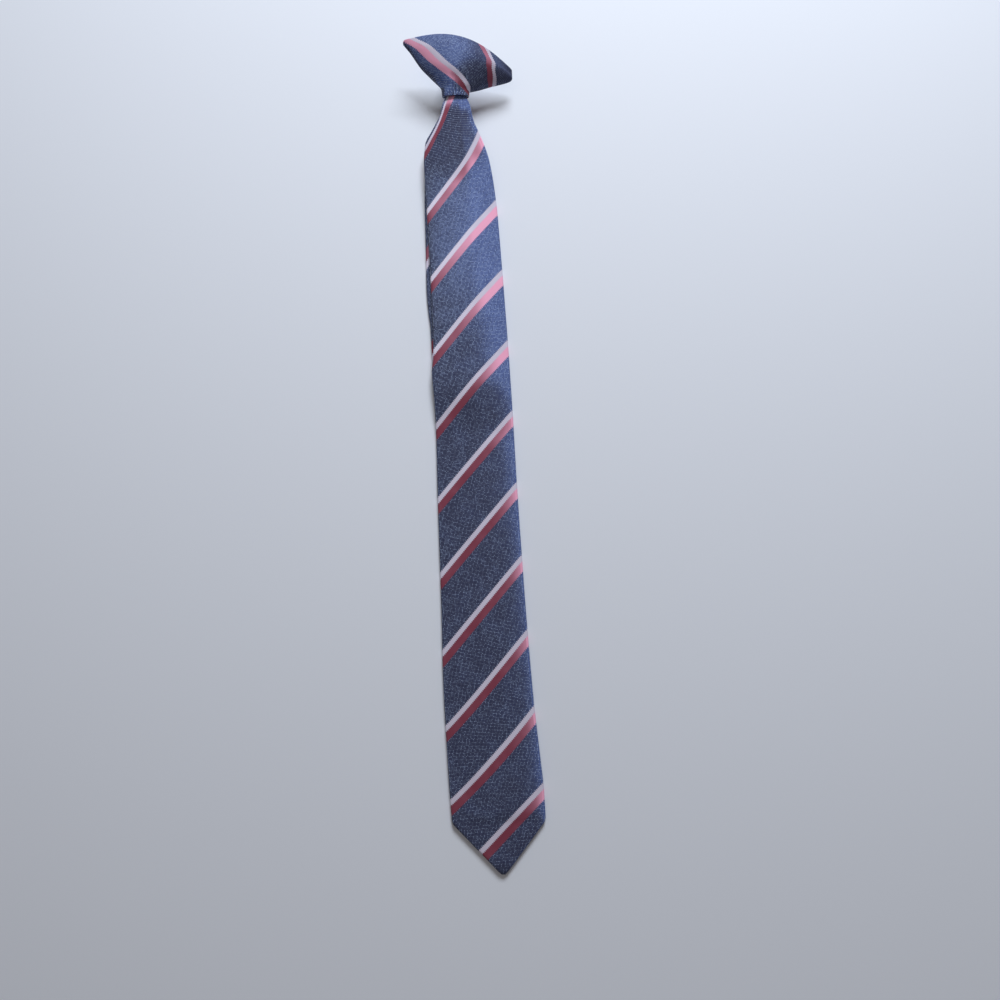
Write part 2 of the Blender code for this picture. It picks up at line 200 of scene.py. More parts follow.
def painted_thread_sheen(points, across, along, sides=SHEEN_SIDES, beyond=1e3):
    """Painted sheen: how squarely the threads across and along the stripes meet the light, from 0 to
    1.

    Cloth that slopes down to the right counts for more by sides, and beyond is how soon a thread
    that leans past the light grows dark again.
    """
    rows, columns = np.gradient(points, axis=0), np.gradient(points, axis=1)
    lean = np.interp(points[..., 1] - TIE_START.y, *zip(*SHEEN_ROWS))
    steep = np.clip(columns[..., 2] / np.maximum(np.abs(columns[..., 0]), 1e-9), -1.5, 1.5)

    def shine(kept):
        by_row, by_column = np.gradient(kept, axis=0), np.gradient(kept, axis=1)
        run = rows * by_column[..., None] - columns * by_row[..., None]
        run /= np.maximum(np.linalg.norm(run, axis=2, keepdims=True), 1e-12)
        run *= np.where(run[..., 1:2] < 0, -1.0, 1.0)
        slope = (sides - 1) * np.clip(steep + 0.03, -0.1, 0.0) * run[..., 0]
        out = run[..., 1] * lean + run[..., 2] + slope
        return np.exp(-((out / np.where(out > 0, SHEEN_SPREAD, beyond)) ** 2))

    return shine(along), shine(across)


def add_object(name, data):
    made = bpy.data.objects.new(name, data)
    bpy.context.scene.collection.objects.link(made)
    return made


def grid_mesh(name, points):
    """A surface through a grid of points, and the points' numbers, four to a face."""
    height, width = points.shape[:2]
    number = np.arange(height * width).reshape(height, width)
    faces = np.stack([number[:-1, :-1], number[:-1, 1:], number[1:, 1:], number[1:, :-1]], 2)
    faces = faces.reshape(-1, 4)
    mesh = bpy.data.meshes.new(name)
    mesh.from_pydata(points.reshape(-1, 3).tolist(), [], faces.tolist())
    return mesh, faces.ravel()


def thicken(piece, wall, rim_width, rim_angle, segments):
    """Gives a surface its wall, half to each side, and rounds its rim."""
    solid = piece.modifiers.new("wall", "SOLIDIFY")
    solid.thickness = wall
    solid.offset = 0
    rim = piece.modifiers.new("rim", "BEVEL")
    rim.limit_method = "ANGLE"
    rim.angle_limit = math.radians(rim_angle)
    rim.width = rim_width
    rim.segments = segments


def finish_shape(piece, sharp_angle):
    """Makes what the modifiers give the piece's own mesh, shaded smooth between sharp edges."""
    shape = piece.evaluated_get(bpy.context.evaluated_depsgraph_get())
    finished = bpy.data.meshes.new_from_object(shape)
    piece.modifiers.clear()
    piece.data = finished
    finished.name = piece.name
    finished.shade_smooth()
    finished.set_sharp_from_angle(angle=math.radians(sharp_angle))


def cloth_piece(name, points, across, along, weave, lay, wall, material):
    """A wall of cloth through a grid of points, with its stripes, weave and painted sheen and shade as
    UV maps.
    """
    mesh, corners = grid_mesh(name, points)
    for title, pair in (("stripes", (across, along)), ("weave", weave), ("lay", lay)):
        values = np.stack(pair, 2).reshape(-1, 2)[corners]
        mesh.uv_layers.new(name=title).data.foreach_set("uv", values.astype(np.float32).ravel())
    mesh.materials.append(material)
    mesh.shade_smooth()
    piece = add_object(name, mesh)
    thicken(piece, wall, CLOTH_RIM * wall, rim_angle=70, segments=2)
    finish_shape(piece, sharp_angle=65)
    return piece


def flat_area(across, along):
    """Area of the cloth laid out flat, from its own coordinates."""
    a, b = across, along
    p, q = a[1:, 1:] - a[:-1, :-1], b[1:, 1:] - b[:-1, :-1]
    r, s = a[:-1, 1:] - a[1:, :-1], b[:-1, 1:] - b[1:, :-1]
    return float(np.abs(p * s - q * r).sum() / 2)


class Socket:
    """A shader socket that adds, multiplies and compares like a number."""

    def __init__(self, tree, socket):
        self.tree, self.socket = tree, socket

    def node(self, kind, settings=None, inputs=None, output=0):
        """Any node: its settings first, then values or links by the names of its sockets."""
        made = self.tree.nodes.new(kind)
        for key, value in (settings or {}).items():
            setattr(made, key, value)
        for key, value in (inputs or {}).items():
            if isinstance(value, Socket):
                self.tree.links.new(value.socket, made.inputs[key])
            else:
                made.inputs[key].default_value = value
        return Socket(self.tree, made.outputs[output])

    def math(self, operation, first, *others):
        return self.node(
            "ShaderNodeMath", {"operation": operation}, dict(enumerate((first, *others)))
        )

    def __add__(self, other):
        return self.math("ADD", self, other)

    def __sub__(self, other):
        return self.math("SUBTRACT", self, other)

    def __rsub__(self, other):
        return self.math("SUBTRACT", other, self)

    def __mul__(self, other):
        return self.math("MULTIPLY", self, other)

    def __truediv__(self, other):
        return self.math("DIVIDE", self, other)

    __radd__ = __add__
    __rmul__ = __mul__

    def step(self, start, end):
        """0 below start, 1 above end, smooth between."""
        ends = {"Value": self, "From Min": start, "From Max": end}
        return self.node("ShaderNodeMapRange", {"interpolation_type": "SMOOTHSTEP"}, ends)

    def mix(self, first, second):
        """Blends two colours by this value."""
        made = self.tree.nodes.new("ShaderNodeMix")
        made.data_type = "RGBA"
        for key, value in ((0, self), (6, first), (7, second)):
            if isinstance(value, Socket):
                self.tree.links.new(value.socket, made.inputs[key])
            else:
                made.inputs[key].default_value = (*value, 1.0)
        return Socket(self.tree, made.outputs[2])


def start_material(name, roughness, metallic=0.0):
    """A new material, its Principled shader, and a Socket to build its nodes from."""
    material = bpy.data.materials.new(name)
    material.use_nodes = True
    shader = material.node_tree.nodes["Principled BSDF"]
    shader.inputs["Roughness"].default_value = roughness
    shader.inputs["Metallic"].default_value = metallic
    return material, shader, Socket(material.node_tree, None)


# The striped cloth, in millimetres and linear colours: a repeat across the stripes, the red and the
# white stripe, and the spacing of its points. Each pair of colours is mixed partly by painted sheen
# and painted shade; the red's sheen end is pink.
REPEAT = 30.6
RED_WIDTH = 4.3
WHITE_WIDTH = 2.7
POINT_PITCH = 1.15
TOOTH = 0.34
NAVY_DARK, NAVY_SHEEN = (0.016, 0.018, 0.058), (0.072, 0.118, 0.330)
SILVER_DARK, SILVER_LIGHT = (0.130, 0.147, 0.215), (0.400, 0.490, 0.700)
CRIMSON, RED_SHEEN = (0.230, 0.045, 0.072), (0.960, 0.430, 0.590)
WHITE_DARK, WHITE_LIGHT = (0.380, 0.340, 0.420), (0.860, 0.790, 0.920)


def striped_cloth(name):
    """Navy and silver points with a red and a white satin stripe, woven along the stripes."""
    material, shader, new = start_material(name, 0.72)
    uv = new.node("ShaderNodeUVMap", {"uv_map": "stripes"})
    weave = new.node("ShaderNodeUVMap", {"uv_map": "weave"})
    lay = new.node("ShaderNodeUVMap", {"uv_map": "lay"})

    def split(vector):
        xyz = new.node("ShaderNodeSeparateXYZ", inputs={0: vector})
        parts = xyz.socket.node.outputs
        return Socket(new.tree, parts[0]), Socket(new.tree, parts[1])

    across, along = split(uv)
    across, along = across * 1000, along * 1000
    shine_across, shine_along = split(lay)

    # A cell of the weave holds one point; points lie in a checker.
    weave_a, weave_b = split(weave)
    cell_a, cell_b = weave_a * (2000 / POINT_PITCH), weave_b * (2000 / POINT_PITCH)
    row, column = new.math("FLOOR", cell_a), new.math("FLOOR", cell_b)
    in_a, in_b = cell_a - row - 0.5, cell_b - column - 0.5
    odd = new.math("FLOORED_MODULO", row + column, 2.0)
    spot = new.node("ShaderNodeCombineXYZ", inputs={0: row, 1: column})
    chance = new.node("ShaderNodeTexWhiteNoise", {"noise_dimensions": "2D"}, {"Vector": spot})
    size = in_a * in_a * 3.4 + in_b * in_b * 5.2
    point = (1 - size.step(0.55, 1.0)) * (1 - odd)

    # The edges of the stripes are toothed by single threads.
    tooth = new.math("PINGPONG", along, POINT_PITCH / 2) * (2 / POINT_PITCH) - 0.5
    place = new.math("FLOORED_MODULO", across + tooth * (2 * TOOTH), REPEAT)
    soft = 0.07
    red = place.step(0, soft) - place.step(RED_WIDTH - soft, RED_WIDTH + soft)
    end = RED_WIDTH + WHITE_WIDTH
    white = place.step(RED_WIDTH - soft, RED_WIDTH + soft) - place.step(end - soft, end + soft)

    grain = new.node("ShaderNodeTexNoise", {"noise_dimensions": "2D"}, {"Vector": uv, "Scale": 90.0})
    # Painted sheen and painted shade: the shine values lighten or darken the navy, silver, red and
    # white; grain, chance, rib and cord vary them as the weave does.
    navy = (shine_along * 0.9 + grain * 0.3 - 0.15).mix(NAVY_DARK, NAVY_SHEEN)
    bright = shine_along * 0.25 + shine_across * 0.3 + chance * 0.9 + grain * 0.3 - 0.35
    silver = bright.step(0, 1).mix(SILVER_DARK, SILVER_LIGHT)
    rib = new.math("PINGPONG", along, 0.3) / 0.3
    satin = (shine_along + rib * 0.10 + grain * 0.2 - 0.14).mix(CRIMSON, RED_SHEEN)
    cord = new.math("PINGPONG", across, 0.3) / 0.3
    pale = (shine_across * 0.25 + cord * 0.15 + grain * 0.2 + 0.42).mix(WHITE_DARK, WHITE_LIGHT)
    ground = point.mix(navy, silver)
    colour = white.mix(red.mix(ground, satin), pale)
    material.node_tree.links.new(colour.socket, shader.inputs["Base Color"])

    bulge = (1 - in_a * in_a * 3.0) * (1 - in_b * in_b * 2.0)
    height = bulge * (1 - red) * (1 - white) + red * rib + white * cord
    bump = new.node("ShaderNodeBump", inputs={"Height": height, "Strength": 0.35, "Distance": 0.00012})
    material.node_tree.links.new(bump.socket, shader.inputs["Normal"])
    shader.inputs["Sheen Weight"].default_value = 0.08
    shader.inputs["Sheen Roughness"].default_value = 0.4
    shader.inputs["Specular IOR Level"].default_value = 0.2
    return material


TAIL_BIAS = math.radians(60.0)
TAIL_PATTERN = 0.0252

tail_tip = BLADE_LENGTH - TAIL_LENGTH
tail_neck, tail_swell = TAIL_NECK / 2, (TAIL_WIDTH - TAIL_NECK) / 2
rows = []
for up, width, lap, _ in POINT_ROWS:
    half = max(width * TAIL_WIDTH / 2, TAIL_WALL + TAIL_ROLL / 2)
    rows.append((up * TAIL_POINT, TAIL_ROWS[0][1], half, lap))
tail_table = ((rows[-1][0] / TAIL_LENGTH, TAIL_ROWS[0][1], 1.0, rows[-1][3]), *TAIL_ROWS)
for y in np.arange(rows[-1][0] + SECTION_STEP, TAIL_LENGTH, SECTION_STEP):
    shift, width, lap = read_rows(tail_table, y / TAIL_LENGTH)
    rows.append((y, shift, tail_neck + tail_swell * width, lap))
rows.append((TAIL_LENGTH + NECK_HOLD, 0.0, tail_neck, TAIL_ROWS[-1][3]))
points, cloth_u, cloth_v = [], [], []
for y, shift, half, lap in rows:
    x, z, u = fold(TAIL_WALL, TAIL_ROLL, TAIL_LAP, half, half, lap, 0.0, 0.0)
    place = np.stack([x - shift * TAIL_SHIFT, np.full(len(x), tail_tip + y), z], 1)
    place[:, 2] += tail_lift(tail_tip + y)
    points.append(place + np.array(TIE_START))
    cloth_u.append(u)
    cloth_v.append(np.full(len(x), y))
points, cloth_u, cloth_v = np.array(points), np.array(cloth_u), np.array(cloth_v)
# The tail is cut the other way up, so its white stripe lies under its red one.
rise, run = math.cos(TAIL_BIAS), math.sin(TAIL_BIAS)
tail_across = cloth_u * run - cloth_v * rise + TAIL_PATTERN
tail_along = -cloth_u * rise - cloth_v * run
# The tail's painted sheen.
lay = painted_thread_sheen(points, tail_across, tail_along)
weave = (tail_across, tail_along)
tail = cloth_piece("tail_cloth", points, *weave, weave, lay, TAIL_WALL, striped_cloth("tail_cloth"))
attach(tail, "root")
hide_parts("tail")
flat_area(cloth_u, cloth_v)

# The blade: the wide end in front, one strip of cloth folded round to the back, where its flaps lap.
# It is cut on the bias, so that its stripes cross it at 45 degrees. Over the tail it lies higher,
# its right side sags to the surface, and near the knot it is gathered into the rim.

BLADE_WIDTH = 0.055
BLADE_POINT = 0.0305
BLADE_WALL = 0.0012
BLADE_ROLL = 0.0011
BLADE_LAP = 0.005
BLADE_CROWN = 0.0009
BLADE_GATHER = 0.0001
BLADE_NECK = 0.0136
POINT_SKEW = 0.001
CORNER_LEFT = 1.029
CORNER_RIGHT = 0.937
# Along the blade: half widths to the left and right, lap, fullness, depth of the gathers.
BLADE_ROWS = (
    (0.1000, 1.048, 0.942, 0.7, 0.9, 0.0),
    (0.1300, 1.058, 0.908, 1.0, 1.0, 0.0),
    (0.2100, 1.068, 0.821, 1.0, 1.0, 0.0),
    (0.3300, 1.000, 0.773, 1.0, 1.0, 0.0),
    (0.4550, 0.942, 0.763, 1.0, 1.0, 0.0),
    (0.5850, 0.870, 0.783, 1.0, 1.0, 0.0),
    (0.6220, 0.899, 0.783, 1.0, 1.0, 0.0),
    (0.6430, 0.831, 0.783, 1.0, 1.0, 0.0),
    (0.6800, 0.792, 0.778, 1.0, 1.1, 0.0),
    (0.7620, 0.783, 0.758, 1.0, 1.2, 0.0),
    (0.8390, 0.783, 0.729, 1.0, 1.4, 0.1),
    (0.8750, 0.787, 0.681, 1.0, 1.5, 0.3),
    (0.9100, 0.783, 0.585, 1.0, 1.7, 0.6),
    (0.9250, 0.749, 0.498, 0.9, 1.8, 0.8),
    (0.9385, 0.691, 0.401, 0.9, 1.8, 1.0),
    (0.9500, 0.531, 0.304, 0.8, 1.8, 1.0),
    (0.9625, 0.348, 0.193, 0.7, 1.7, 1.0),
    (0.9750, 0.188, 0.140, 0.6, 1.5, 1.0),
    (0.9870, 0.116, 0.101, 0.5, 1.2, 0.7),
    (0.9950, 0.019, 0.014, 0.4, 0.9, 0.2),
    (1.0000, 0.000, 0.000, 0.4, 0.7, 0.0),
)
# Along the blade, in metres: how much wider the cloth is than the blade where it is gathered, and
# how far it is pulled up, so that its stripes lie further apart.
GATHER_ROWS = (
    (0.000, 1.00, 0.0030),
    (0.030, 1.00, 0.0020),
    (0.060, 1.00, 0.0000),
    (0.300, 1.00, 0.0000),
    (0.3386, 1.00, 0.00145),
    (0.3853, 1.03, 0.0036),
    (0.4314, 1.12, 0.00515),
    (0.445, 1.22, 0.0075),
    (0.459, 1.38, 0.0110),
    (0.469, 1.45, 0.0145),
    (0.478, 1.50, 0.0165),
)
STRIPE_START = 0.0257
BLADE_BIAS = math.radians(46.6)
# At the neck the left third is tucked: from this share of the half width, the cloth is denser.
TUCK_START = 0.66
TUCK = 0.62
# Towards the point the cloth lies turned a little, and its stripes with it.
POINT_TURN = 0.085

neck, swell = BLADE_NECK / 2, (BLADE_WIDTH - BLADE_NECK) / 2
left_corner, right_corner = neck + swell * CORNER_LEFT, neck + swell * CORNER_RIGHT
rows = []
for up, width, lap, crown in POINT_ROWS:
    rows.append((up * BLADE_POINT, width * left_corner, width * right_corner, lap, crown, 0.0))
first = (rows[-1][0] / BLADE_LENGTH, CORNER_LEFT, CORNER_RIGHT, *POINT_ROWS[-1][2:], 0.0)
blade_table = (first, *BLADE_ROWS)
for y in np.arange(rows[-1][0] + SECTION_STEP, BLADE_LENGTH, SECTION_STEP):
    left, right, *form = read_rows(blade_table, y / BLADE_LENGTH)
    rows.append((y, neck + swell * left, neck + swell * right, *form))
rows.append((BLADE_LENGTH + NECK_HOLD, neck, neck, *BLADE_ROWS[-1][3:]))
points, sags, cloth_u, cloth_v, plain_u = [], [], [], [], []
for y, left, right, lap, crown, gather in rows:
    x, z, u = fold(
        BLADE_WALL, BLADE_ROLL, BLADE_LAP, left, right, lap, crown * BLADE_CROWN, gather * BLADE_GATHER
    )
    over = (TAIL_THICKNESS + PLY_GAP) * float(
        smooth_step(y, tail_tip - 2.4 * TAIL_POINT, tail_tip - 0.1 * TAIL_POINT)
    )
    skew = POINT_SKEW * max(0.0, 1 - y / (3 * BLADE_POINT)) / (BLADE_WIDTH / 2)
    level = tail_lift(y)
    sags.append(over * smooth_step(x, 0.002, 0.026) * float(1 - smooth_step(y, 0.40, 0.455)))
    points.append(np.stack([x, y - skew * x, z + level + over], 1) + np.array(TIE_START))
    gathered, pulled = read_rows(GATHER_ROWS, y)
    tuck = TUCK * float(smooth_step(y, 0.43, 0.455))
    tucked = np.minimum(0.0, u + TUCK_START * left)
    cloth_u.append((u + tuck * tucked) * gathered)
    plain_u.append(u)
    turn = POINT_TURN * float(1 - smooth_step(y, 0.06, 0.12))
    cloth_v.append(y - pulled + turn * u)
points, cloth_u, cloth_v = np.array(points), np.array(cloth_u), np.array(cloth_v)
plain_u = np.array(plain_u)
rise, run = math.cos(BLADE_BIAS), math.sin(BLADE_BIAS)
pattern_start = (RED_WIDTH + WHITE_WIDTH) / 1000 - STRIPE_START * rise
blade_across = cloth_v * rise - cloth_u * run + pattern_start
blade_along = cloth_v * run + cloth_u * rise
# The painted sheen is that of the cloth before its right side sags.
shine_across, shine_along = painted_thread_sheen(points, blade_across, blade_along)
# Painted shade below the knot: towards its rim, the threads across the stripes are painted darker.
near = smooth_step(points[..., 1] - TIE_START.y, 0.420, 0.455)
lay = (shine_across - 0.6 * near, shine_along)
points[..., 2] -= np.array(sags)
blade_points, blade_rows = points, np.array([row[0] for row in rows])
# The gathers hide some of the cloth, so its weave keeps its scale between them.
weave = (cloth_v * rise - plain_u * run, cloth_v * run + plain_u * rise)
blade_cloth = striped_cloth("blade_cloth")
blade = cloth_piece(
    "blade_cloth", points, blade_across, blade_along, weave, lay, BLADE_WALL, blade_cloth
)
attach(blade, "root")
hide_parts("blade")
flat_area(plain_u, cloth_v)

# The knot: a ready-made fan of the same cloth with a tight rim round the neck, an arched front and
# two side edges that end in blunt wing points. Its flaps leave the back open for the hook. Its
# cloth is gathered at the rim, so the stripes fan out from there.

KNOT_SPAN = 0.070
KNOT_LENGTH = 0.033
KNOT_HEIGHT = 0.028
KNOT_WALL = 0.0013
KNOT_ROLL = 0.0014
NECK_ROOM = 0.0004
# From rim to top edge: left, right and front, each across, along and up.
KNOT_PLACES = (
    (0.000, 0.015, 0.000, 0.000, -0.015, 0.000, 0.000, -0.076, 0.000),
    (0.015, 0.165, 0.029, 0.034, 0.106, 0.000, 0.020, 0.045, 0.145),
    (0.245, 0.370, 0.200, 0.268, 0.136, 0.000, 0.056, 0.197, 0.380),
    (0.464, 0.540, 0.400, 0.543, 0.190, 0.000, 0.090, 0.360, 0.670),
    (0.690, 0.785, 0.715, 1.055, 0.290, 0.030, 0.135, 0.680, 0.980),
    (0.825, 0.910, 0.853, 1.055, 0.400, 0.170, 0.145, 0.885, 1.000),
)
# Roll of the edges, depth of the back, sharpness of the sides, opening of the back.
KNOT_FORMS = (
    (2.10, 1.00, 0.50, 0.05),
    (1.90, 1.00, 0.55, 0.06),
    (1.30, 0.50, 0.70, 0.14),
    (1.05, 0.35, 0.85, 0.34),
    (1.00, 0.25, 1.05, 0.62),
    (1.00, 0.20, 1.20, 0.70),
)
# From rim to top edge: where the edges of the red and white stripes lie, from -1 at the knot's left
# edge to 1 at its right edge, and on round its back.
KNOT_STRIPES = (
    (0.00, 1.05, 1.26, 1.40, 2.20, 2.40, 2.60),
    (0.50, 0.80, 1.085, 1.245, 2.05, 2.25, 2.40),
    (1.14, 0.43, 0.82, 1.05, 1.85, 2.05, 2.20),
    (1.50, 0.11, 0.58, 0.875, 1.70, 1.90, 2.05),
    (2.00, -0.31, 0.22, 0.53, 1.50, 1.70, 1.87),
    (2.40, -0.52, -0.04, 0.29, 1.27, 1.47, 1.62),
    (2.80, -0.66, -0.305, 0.02, 1.03, 1.21, 1.36),
    (3.30, -0.81, -0.57, -0.36, 0.72, 0.87, 0.98),
    (3.70, -0.89, -0.70, -0.56, 0.49, 0.61, 0.69),
    (4.20, -0.955, -0.80, -0.69, 0.40, 0.505, 0.60),
    (4.60, -0.985, -0.86, -0.76, 0.36, 0.475, 0.57),
    (5.00, -1.00, -0.90, -0.81, 0.32, 0.43, 0.54),
)
PUCKER = 0.00045
PUCKERS = 13
# How far up the knot the puckers reach, in rows of its tables.
PUCKER_REACH = 0.45
KNOT_STEPS, FRONT_STEPS, BACK_STEPS = 71, 91, 25
# Room for the white stripe in the table above, and millimetres of cloth past its ends for each
# metre of half width.
WHITE_ROOM = 2.9
PLAIN_CLOTH = 900

blade_stack = 3 * BLADE_WALL + 2 * PLY_GAP + BLADE_ROWS[-1][4] * BLADE_CROWN
held = TAIL_THICKNESS + PLY_GAP + blade_stack
rim_half = BLADE_NECK / 2 + NECK_ROOM + KNOT_WALL / 2
rim_depth = held / 2 + NECK_ROOM + KNOT_WALL / 2
rim_height = NECK_LIFT + held / 2
knot_top = KNOT_HEIGHT - KNOT_WALL / 2


def knot_place(side, across, along, up, base):
    x = side * (rim_half + across * (KNOT_SPAN / 2 - rim_half))
    return np.array((x, BLADE_LENGTH + along * KNOT_LENGTH, base + up * (knot_top - base)))


stripe_edges = np.array((0.0, RED_WIDTH, RED_WIDTH + WHITE_ROOM))
stripe_edges = np.concatenate([stripe_edges, stripe_edges + REPEAT])
points, knot_across = [], []
knot_table = [(i, *row, *form) for i, (row, form) in enumerate(zip(KNOT_PLACES, KNOT_FORMS))]
for place in np.linspace(0, len(KNOT_PLACES) - 1, KNOT_STEPS):
    row = read_rows(knot_table, place)
    left = knot_place(-1, *row[0:3], rim_height)
    right = knot_place(1, *row[3:6], rim_height)
    front = knot_place(0, *row[6:9], rim_height + rim_depth)
    front[0] = row[6] * KNOT_SPAN / 2
    roll, sharp, opened = row[9] * KNOT_ROLL, row[11], row[12]
    middle = (left + right) / 2
    half = np.linalg.norm(right - left) / 2
    across = (right - left) / (2 * half)
    bulge = front - middle
    bulge -= bulge @ across * across
    height = np.linalg.norm(bulge)
    outward = bulge / height
    back = row[10] * (rim_depth / outward[2] - KNOT_FORMS[0][0] * KNOT_ROLL)
    power = 2 * half / roll
    open_turn = math.asin(opened)
    back_turns = np.sin(np.linspace(open_turn, math.pi / 2, BACK_STEPS))[:-1]
    front_turns = np.sin(np.linspace(-math.pi / 2, math.pi / 2, FRONT_STEPS))
    share = np.concatenate([-back_turns, front_turns, back_turns[::-1]])
    in_front = np.arange(len(share)) - len(back_turns)
    in_front = (in_front >= 0) & (in_front < len(front_turns))
    edge = roll * np.sqrt(np.maximum(0.0, 1 - np.abs(share) ** power))
    rest = np.maximum(0.0, 1 - share**2)
    out = np.where(in_front, edge + (height - roll) * rest**sharp, -edge - back * rest**0.5)
    pleat = np.cos(PUCKERS * math.pi * share) * rest * math.exp(-place / PUCKER_REACH)
    out += np.where(in_front, PUCKER * pleat, 0.0)
    points.append(middle + np.outer(share * half, across) + np.outer(out, outward))
    wrapped = np.where(in_front, share, np.sign(share) * (2 - np.abs(share)))
    stripes = read_rows(KNOT_STRIPES, place)
    phase = np.interp(wrapped, stripes, stripe_edges)
    phase += np.minimum(0.0, wrapped - stripes[0]) * PLAIN_CLOTH * half
    phase += np.maximum(0.0, wrapped - stripes[-1]) * PLAIN_CLOTH * half
    knot_across.append(phase / 1000)
points = np.array(points) + np.array(TIE_START)
knot_across = np.array(knot_across)
SOLVER_STEPS = 900


def square_to(points, across):
    """The coordinate along the stripes that lies most nearly square to the one across them."""
    rows, columns = np.gradient(points, axis=0), np.gradient(points, axis=1)
    by_row, by_column = np.gradient(across, axis=0), np.gradient(across, axis=1)
    run = columns * by_row[..., None] - rows * by_column[..., None]
    run /= np.maximum(np.linalg.norm(run, axis=2, keepdims=True), 1e-12)
    down = ((points[1:] - points[:-1]) * (run[1:] + run[:-1]) / 2).sum(2)
    over = ((points[:, 1:] - points[:, :-1]) * (run[:, 1:] + run[:, :-1]) / 2).sum(2)
    weight_down = 1 / np.maximum(np.linalg.norm(points[1:] - points[:-1], axis=2), 1e-5)
    weight_over = 1 / np.maximum(np.linalg.norm(points[:, 1:] - points[:, :-1], axis=2), 1e-5)

    def spread_out(d, o):
        total = np.zeros(across.shape)
        total[1:] += weight_down * d
        total[:-1] -= weight_down * d
        total[:, 1:] += weight_over * o
        total[:, :-1] -= weight_over * o
        return total

    found = np.zeros(across.shape)
    left_over = spread_out(down, over)
    step = left_over.copy()
    size = (left_over**2).sum()
    for _ in range(SOLVER_STEPS):
        pushed = spread_out(step[1:] - step[:-1], step[:, 1:] - step[:, :-1])
        rate = size / max((step * pushed).sum(), 1e-30)
        found += rate * step
        left_over -= rate * pushed
        new_size = (left_over**2).sum()
        step = left_over + step * new_size / max(size, 1e-30)
        size = new_size
        if size < 1e-16:
            break
    return found


knot_along = square_to(points, knot_across)
# Painted shade: the knot's right third, turned from the light, is painted darker, and elsewhere the
# painted sheen along the stripes is raised.
painted_right_shade = smooth_step(points[..., 0] - TIE_START.x, 0.002, 0.018)
shine_across, shine_along = painted_thread_sheen(points, knot_across, knot_along, 1.0, 0.30)
lay = (shine_across - 1.0 * painted_right_shade, np.minimum(1.35 * shine_along, 1.0) * (1 - 0.75 * painted_right_shade))
side = np.cumsum(np.linalg.norm(np.diff(points, axis=1), axis=2), axis=1)
side = np.pad(side, ((0, 0), (1, 0)))
centre = side.shape[1] // 2
side -= side[:, centre : centre + 1]
upward = np.cumsum(np.linalg.norm(np.diff(points[:, centre], axis=0), axis=1))
upward = np.pad(upward, (1, 0))[:, None]
weave = (upward * rise - side * run, upward * run + side * rise)
knot_cloth = striped_cloth("knot_cloth")
knot = cloth_piece("knot_cloth", points, knot_across, knot_along, weave, lay, KNOT_WALL, knot_cloth)
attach(knot, "root")
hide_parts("knot")
flat_area(knot_across, knot_along)

# The hook: one bent strip of nickel-plated spring steel. Its plate lies inside the knot's back flaps,
# and its leg comes down behind them over the collar. The photograph hides it, so it is kept plain.

HOOK_SEAT = Vector((-0.003276, 0.231481, 0.010741))
HOOK_ALONG = Vector((0.1730, 0.7893, 0.5892))
HOOK_INWARD = Vector((-0.0581, -0.5890, 0.8061))
HOOK_FLARE = math.radians(7.3749)
HOOK_PLATE = 0.0150
HOOK_BEND = 0.0038
HOOK_LEG = 0.0190
HOOK_WIDTH = 0.012
HOOK_THICKNESS = 0.001
HOOK_CORNER = 0.0028
HOOK_RIM = 0.0002

steel, steel_shader, new = start_material("clip_steel", 0.34, 1.0)
coordinates = new.node("ShaderNodeTexCoord", output=3)
drawn = new.node("ShaderNodeMapping", inputs={"Vector": coordinates, "Scale": (2600, 150, 150)})
streaks = new.node("ShaderNodeTexNoise", inputs={"Vector": drawn, "Scale": 1.0, "Detail": 4.0})
steel_colour = streaks.mix((0.46, 0.45, 0.44), (0.70, 0.69, 0.68))
steel.node_tree.links.new(steel_colour.socket, steel_shader.inputs["Base Color"])
steel_rough = streaks * 0.25 + 0.22
steel.node_tree.links.new(steel_rough.socket, steel_shader.inputs["Roughness"])

turn = math.pi - HOOK_FLARE
line = [(x, 0.0) for x in HOOK_CORNER * (1 - np.cos(np.linspace(0, math.pi / 2, 9)))]
line += [(x, 0.0) for x in np.linspace(HOOK_CORNER, HOOK_PLATE, 8)[1:-1]]
for angle in np.linspace(0, turn, 29):
    line.append((HOOK_PLATE + HOOK_BEND * math.sin(angle), HOOK_BEND * (math.cos(angle) - 1)))
end_x, end_y = line[-1]
leg = [*np.linspace(0, HOOK_LEG - HOOK_CORNER, 9)[1:]]
leg += [HOOK_LEG - HOOK_CORNER * (1 - math.sin(a)) for a in np.linspace(0, math.pi / 2, 9)[1:]]
line += [(end_x - d * math.cos(HOOK_FLARE), end_y - d * math.sin(HOOK_FLARE)) for d in leg]
line = np.array(line)
length = np.concatenate([[0.0], np.cumsum(np.hypot(*np.diff(line, axis=0).T))])
from_end = np.minimum(length, length[-1] - length)
inset = HOOK_CORNER - np.minimum(from_end, HOOK_CORNER)
half = HOOK_WIDTH / 2 - HOOK_CORNER + np.sqrt(np.maximum(HOOK_CORNER**2 - inset**2, 0.0))
hook_across = HOOK_ALONG.cross(HOOK_INWARD)
places = np.outer(line[:, 0], HOOK_ALONG) + np.outer(line[:, 1], HOOK_INWARD) + np.array(HOOK_SEAT)
columns = np.linspace(-1, 1, 9)
grid = places[:, None] + (half[:, None] * columns)[..., None] * np.array(hook_across)
hook_mesh, _ = grid_mesh("hook", grid)
hook_mesh.materials.append(steel)
hook = add_object("hook", hook_mesh)
thicken(hook, HOOK_THICKNESS, HOOK_RIM, rim_angle=60, segments=3)
finish_shape(hook, sharp_angle=50)
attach(hook, "root")
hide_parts("clip")

# The stitches at the blade's back: navy thread. Slip stitches hold the outer flap's edge down on the
# inner flap, and one bar tack above the point closes the fold.

